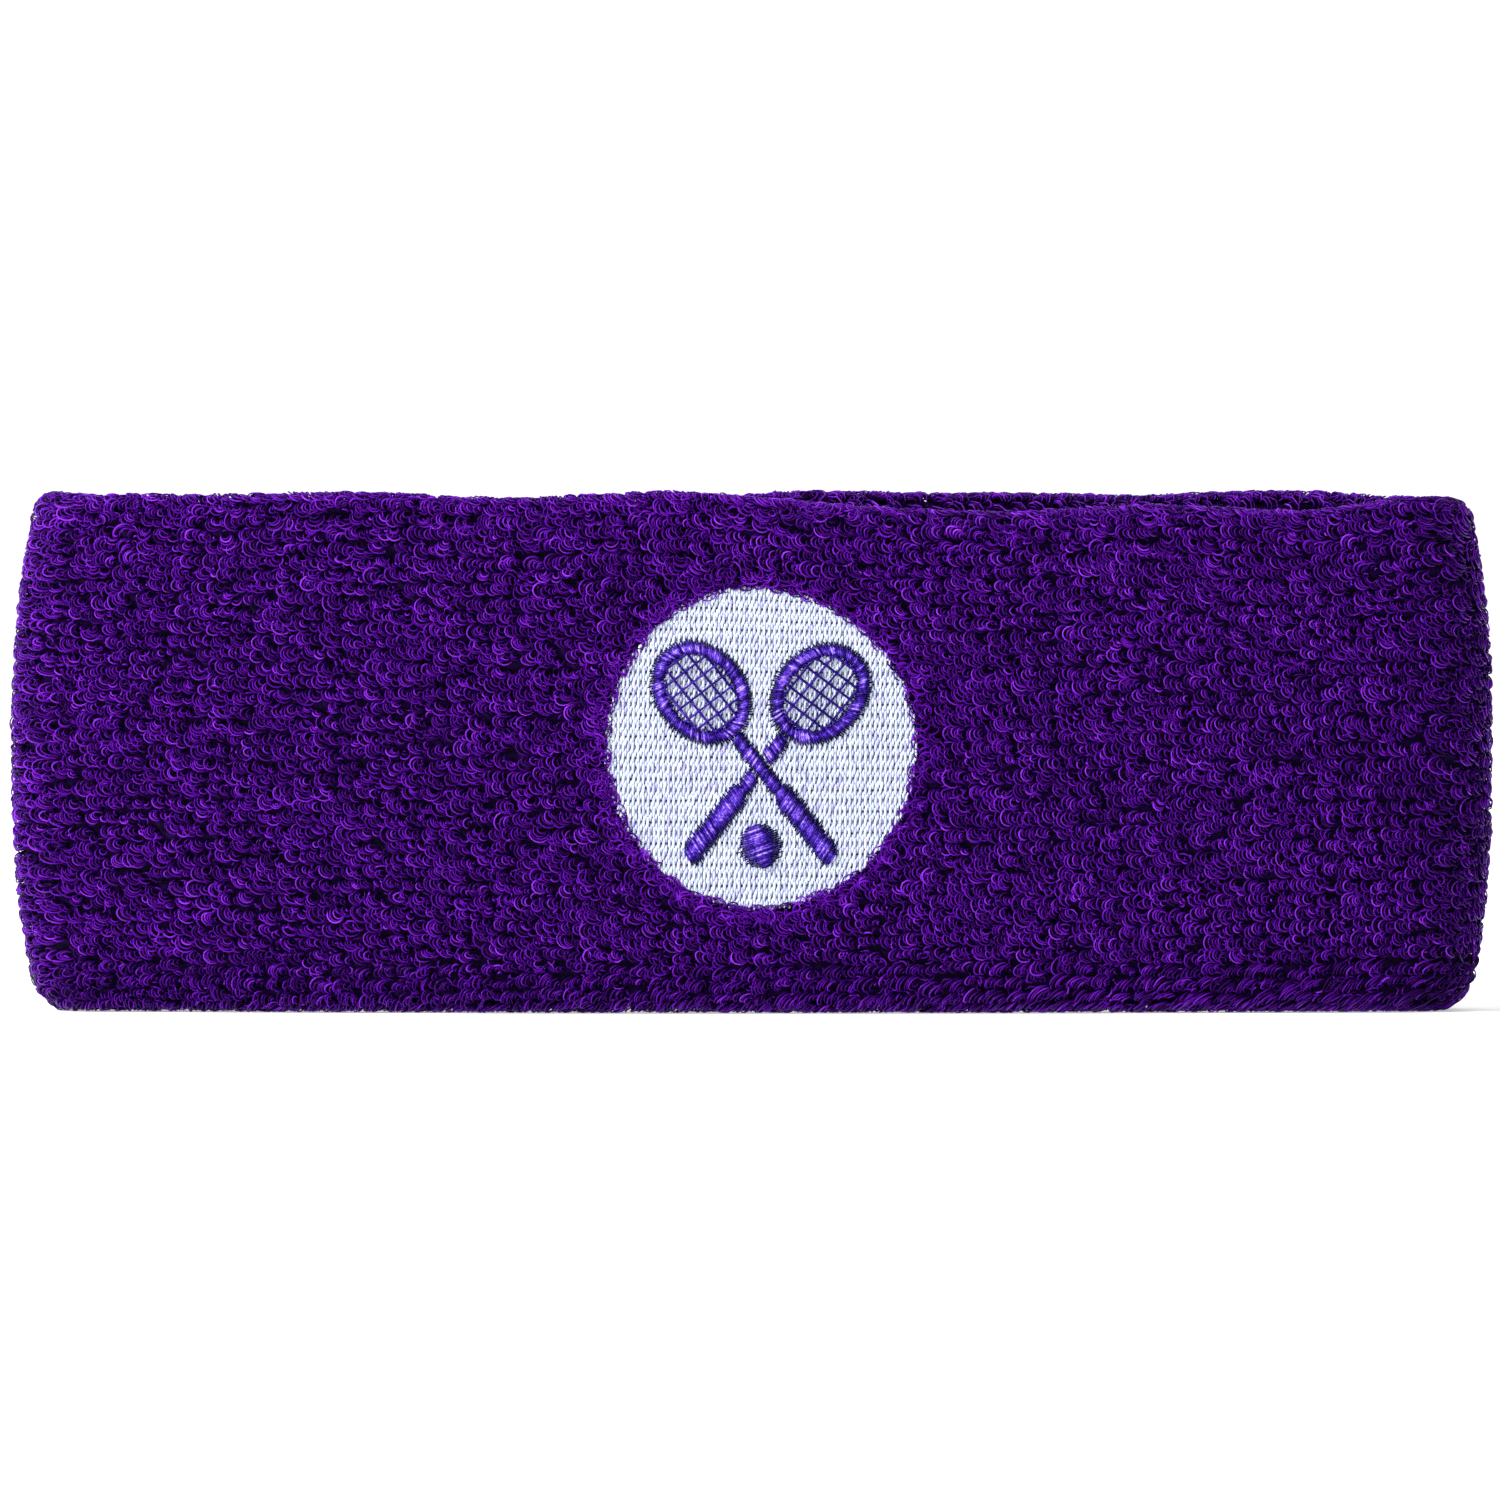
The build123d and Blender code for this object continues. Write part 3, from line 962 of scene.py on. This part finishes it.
racket_tilt = math.radians(38.0)
crossing_drop = 2.5
head_distance = 11.5
head_half_width = 5.6
head_half_length = 6.9
hoop_width = 1.9
string_pitch = 1.6
string_radius = 0.15
shaft_width = 2.0
grip_width = 3.0
grip_start = 3.6
grip_end = 14.0
ball_radius = 2.7
ball_drop = 12.0
satin_angle = math.radians(20.0)
satin_lean = math.tan(satin_angle)


def racket_to_wall(side, across, distance):
    """Turn places on a racket, across it and along it from the crossing, into x and z on the front wall."""
    lean = side * racket_tilt
    x = badge_x + across * math.cos(lean) + distance * math.sin(lean)
    z = badge_z - crossing_drop - across * math.sin(lean) + distance * math.cos(lean)
    return x, z


def satin_piece(name, replaced, start_x, start_z, end_x, end_z):
    """Satin stitch: threads laid side by side from their starts to their ends, domed, with ragged edges."""
    overhang = 0.14
    ragged = 0.25
    count = len(start_x)
    share = np.linspace(0, 1, 9)[None, :]
    length = np.hypot(end_x - start_x, end_z - start_z)[:, None]
    by_turns = (-1.0) ** np.arange(count)[:, None]
    longer = 1 + (rng.normal(ragged, 0.11, (count, 1)) * by_turns + overhang) / length
    from_middle = (share - 0.5) * longer + 0.5 + rng.normal(0, 0.06, (count, 1)) / length
    x = start_x[:, None] + (end_x - start_x)[:, None] * from_middle
    z = start_z[:, None] + (end_z - start_z)[:, None] * from_middle
    dome = np.sin(math.pi * share) ** 0.6
    crown = np.minimum(1, 0.55 + 0.25 * length)
    edge_height = fill_height - 0.25
    height = edge_height + (emblem_height - satin_radius - edge_height) * dome * crown
    height = height + rng.normal(0, 0.015, (count, 1))
    # Painted highlight and shade: each thread is lightest at its crown and on its starting side, and dark at
    # its ends and towards its far side, as if lit from the upper left.
    tone = 0.04 + 0.86 * dome**2.4 - 0.46 * share + rng.normal(0, 0.19, (count, 1))
    radii = satin_radius * (0.45 + 0.55 * dome)
    piece = tube_piece(name, on_front_wall(x, z, height), radii, emblem_thread, 5, tone)
    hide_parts(replaced)


def make_hoop(side, side_name):
    """The racket's hoop: satin stitch across a ring."""
    middle_width = head_half_width - hoop_width / 2
    middle_length = head_half_length - hoop_width / 2
    fine = np.linspace(0, 2 * math.pi, 721)
    steps = np.hypot(np.diff(middle_width * np.cos(fine)), np.diff(middle_length * np.sin(fine)))
    travelled = np.concatenate([[0], np.cumsum(steps)])
    turn = np.interp(np.arange(0, travelled[-1], satin_pitch), travelled, fine)
    across, distance = middle_width * np.cos(turn), middle_length * np.sin(turn)
    out = np.stack([np.cos(turn) / middle_width, np.sin(turn) / middle_length])
    out /= np.linalg.norm(out, axis=0)
    half = hoop_width / 2
    lean = half * satin_lean
    half_across = half * out[0] - lean * out[1]
    half_distance = half * out[1] + lean * out[0]
    inner = racket_to_wall(side, across - half_across, head_distance + distance - half_distance)
    outer = racket_to_wall(side, across + half_across, head_distance + distance + half_distance)
    satin_piece(f"{side_name}_hoop_satin", f"{side_name}_racket_hoop", *inner, *outer)


def bar_widths(distance, low, high, width):
    """Half the width of a bar with rounded ends, at each distance along it."""
    rounding = width * 0.3
    from_end = np.minimum(distance - low, high - distance)
    cut = np.clip(1 - from_end / rounding, 0, 1)
    return width / 2 - rounding * (1 - np.sqrt(1 - cut**2))


def make_bar(side, name, replaced, ends, width, gap=0.0):
    """A straight satin bar along a racket, with an optional gap where the other racket passes over."""
    low, high = ends
    distance = np.arange(low + 0.05, high, satin_pitch)
    distance = distance[np.abs(distance) >= gap]
    half = bar_widths(distance, low, high, width)
    lean = -side * half * satin_lean
    start = racket_to_wall(side, -half, distance - lean)
    end = racket_to_wall(side, half, distance + lean)
    satin_piece(name, replaced, *start, *end)


def make_strings(side, side_name):
    """The racket's strings: running stitches both ways inside the hoop."""
    under_hoop = 0.25
    half_across = head_half_width - hoop_width + under_hoop
    half_along = head_half_length - hoop_width + under_hoop
    share = np.linspace(-1, 1, 41)
    paths = []
    for offset in (np.arange(5) - 2) * string_pitch:
        reach = badge_chord(offset, half_across, half_along)
        dip = 0.1 * np.abs(np.cos(math.pi * reach * share / string_pitch))
        x, z = racket_to_wall(side, np.full_like(share, offset), head_distance + reach * share)
        paths.append(on_front_wall(x, z, fill_height + 0.16 - dip))
    for offset in (np.arange(7) - 3) * string_pitch:
        reach = badge_chord(offset, half_along, half_across)
        dip = 0.1 * np.abs(np.sin(math.pi * reach * share / string_pitch))
        x, z = racket_to_wall(side, reach * share, head_distance + np.full_like(share, offset))
        paths.append(on_front_wall(x, z, fill_height + 0.22 - dip))
    paths = np.array(paths)
    tone = 0.35 + rng.normal(0, 0.08, (len(paths), 1))
    piece = tube_piece(f"{side_name}_string_stitches", paths, string_radius, emblem_thread, 6, tone)
    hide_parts(f"{side_name}_racket_strings")


def make_ball():
    """The ball: satin stitch across a disc."""
    offset = np.arange(-ball_radius + 0.08, ball_radius, satin_pitch)
    half = badge_chord(offset, ball_radius, ball_radius)
    middle_x = badge_x - offset * math.sin(satin_angle)
    middle_z = badge_z - ball_drop + offset * math.cos(satin_angle)
    half_x = half * math.cos(satin_angle)
    half_z = half * math.sin(satin_angle)
    start = (middle_x - half_x, middle_z - half_z)
    end = (middle_x + half_x, middle_z + half_z)
    satin_piece("ball_satin", "ball", *start, *end)


make_elastic()
make_seam()
ground_knit = make_ground_knit()
loops = make_outer_loops() + make_inner_loops()
felt = make_backing()
make_bobbin()
make_underlay()
make_fill()
crossing_gap = (shaft_width / 2 + 0.1) / math.sin(2 * racket_tilt)
shaft_ends = (-grip_start, head_distance - head_half_length + 0.1)
grip_ends = (-grip_end, -grip_start)
for side, side_name, shaft_gap in ((-1, "left", 0.0), (1, "right", crossing_gap)):
    racket = f"{side_name}_racket"
    make_hoop(side, side_name)
    make_strings(side, side_name)
    make_bar(side, f"{side_name}_shaft_satin", f"{racket}_shaft", shaft_ends, shaft_width, shaft_gap)
    make_bar(side, f"{side_name}_grip_satin", f"{racket}_grip", grip_ends, grip_width)
make_ball()

# ---------------------------------------------------------------- floor, light and camera


def make_stage():
    """A pale round floor, in metres, that sweeps up into a low backdrop on all sides."""
    flat_radius = 2.4
    sweep = 1.0
    spokes = 96
    turn = np.radians(np.linspace(-90, 0, 13))
    radii = np.concatenate([[0.02, 1.0], flat_radius + sweep * np.cos(turn)])
    heights = np.concatenate([[0.0, 0.0], sweep + sweep * np.sin(turn)])
    angle = np.linspace(0, 2 * math.pi, spokes, endpoint=False)
    x = radii[:, None] * np.cos(angle)
    y = radii[:, None] * np.sin(angle)
    z = np.broadcast_to(heights[:, None], x.shape)
    faces = grid_faces(len(radii), spokes, wrap_columns=True)[:, ::-1].tolist() + [list(range(spokes))]
    mesh = bpy.data.meshes.new("floor")
    mesh.from_pydata(np.stack([x, y, z], axis=-1).reshape(-1, 3).tolist(), [], faces)
    mesh.polygons.foreach_set("use_smooth", [True] * len(faces))
    floor = bpy.data.objects.new("floor", mesh)
    bpy.context.scene.collection.objects.link(floor)
    material, tree, shader = new_material("pale_floor", 0.7, Emission_Color=WHITE, Emission_Strength=0.4)
    grain = add_node(tree, "ShaderNodeTexNoise", Scale=30.0, Detail=3.0)
    ramp = colour_ramp(tree, [(0.3, (0.86, 0.86, 0.87)), (0.7, (0.89, 0.89, 0.90))])
    tree.links.new(grain.outputs["Fac"], ramp.inputs["Fac"])
    tree.links.new(ramp.outputs["Color"], shader.inputs["Base Color"])
    mesh.materials.append(material)


def aim_at(thing, target):
    """Turn a light or camera towards a point."""
    thing.rotation_euler = (Vector(target) - thing.location).to_track_quat("-Z", "Y").to_euler()


def add_area_light(name, place_at, target, size, power):
    """A round soft light, with places and its size in metres and its power in watts."""
    light = bpy.data.lights.new(name, "AREA")
    light.shape = "DISK"
    light.size = size
    light.energy = power
    lamp = bpy.data.objects.new(name, light)
    lamp.location = place_at
    bpy.context.scene.collection.objects.link(lamp)
    aim_at(lamp, target)


make_stage()
band_middle = (0.0, 0.0, mid_height * METRE)
add_area_light("key_light", (-1.0, -0.6, 0.95), band_middle, 0.28, 31.0)
add_area_light("overhead_light", (-0.2, -0.1, 1.7), (0.0, 0.1, 0.0), 1.8, 3.0)
add_area_light("backdrop_light", (0.0, 0.2, 1.6), (0.0, 3.0, 0.3), 1.6, 22.0)

world = bpy.data.worlds.new("studio")
bpy.context.scene.world = world
world.use_nodes = True
sky = world.node_tree.nodes["Background"]
sky.inputs["Color"].default_value = WHITE
sky.inputs["Strength"].default_value = 0.36

view_distance = 2.2
view_elevation = math.radians(1.5)
view_width = 179.2 * METRE
view_offset = -0.2 * METRE
camera_data = bpy.data.cameras.new("camera")
camera_data.lens = camera_data.sensor_width * (view_distance - half_depth * METRE) / view_width
camera = bpy.data.objects.new("camera", camera_data)
view_target = Vector((view_offset, 0.0, mid_height * slump * METRE))
view_direction = Vector((0, -math.cos(view_elevation), math.sin(view_elevation)))
camera.location = view_target + view_distance * view_direction
bpy.context.scene.collection.objects.link(camera)
aim_at(camera, view_target)
bpy.context.scene.camera = camera
bpy.context.scene.view_settings.view_transform = "Standard"
